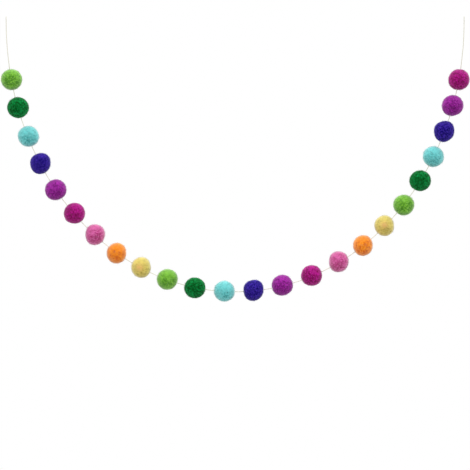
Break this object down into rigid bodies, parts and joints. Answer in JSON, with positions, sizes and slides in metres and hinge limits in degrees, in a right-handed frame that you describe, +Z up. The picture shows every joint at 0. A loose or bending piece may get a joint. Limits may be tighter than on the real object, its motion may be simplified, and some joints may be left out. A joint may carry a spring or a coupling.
{
  "type": "felt ball garland",
  "caption": "Garland of wool felt balls in a repeating run of rainbow colours, threaded on one thin string that hangs in a deep swag from two bare ends.",
  "frame": {"origin": "midway between the string's two cut ends, level with them", "axes": "+Z up, +X from the swag's left end to its right as it is faced, +Y away from whoever faces it"},
  "size_m": [0.5444, 0.0241, 0.3318],
  "materials": {
    "light_green_felt": "matte wool felt with a short fuzz",
    "dark_green_felt": "matte wool felt with a short fuzz",
    "turquoise_felt": "matte wool felt with a short fuzz",
    "blue_felt": "matte wool felt with a short fuzz",
    "purple_felt": "matte wool felt with a short fuzz",
    "magenta_felt": "matte wool felt with a short fuzz",
    "pink_felt": "matte wool felt with a short fuzz",
    "orange_felt": "matte wool felt with a short fuzz",
    "yellow_felt": "matte wool felt with a short fuzz",
    "string_yarn": "matte twisted cotton string"
  },
  "bodies": {
    "root": {"ball_01": "light_green_felt", "ball_02": "dark_green_felt", "ball_03": "turquoise_felt", "ball_04": "blue_felt", "ball_05": "purple_felt", "ball_06": "magenta_felt", "ball_07": "pink_felt", "ball_08": "orange_felt", "ball_09": "yellow_felt", "ball_10": "light_green_felt", "ball_11": "dark_green_felt", "ball_12": "turquoise_felt", "ball_13": "blue_felt", "ball_14": "purple_felt", "ball_15": "magenta_felt", "ball_16": "pink_felt", "ball_17": "orange_felt", "ball_18": "yellow_felt", "ball_19": "light_green_felt", "ball_20": "dark_green_felt", "ball_21": "turquoise_felt", "ball_22": "blue_felt", "ball_23": "purple_felt", "ball_24": "magenta_felt", "string": "string_yarn"}
  },
  "joints": []
}
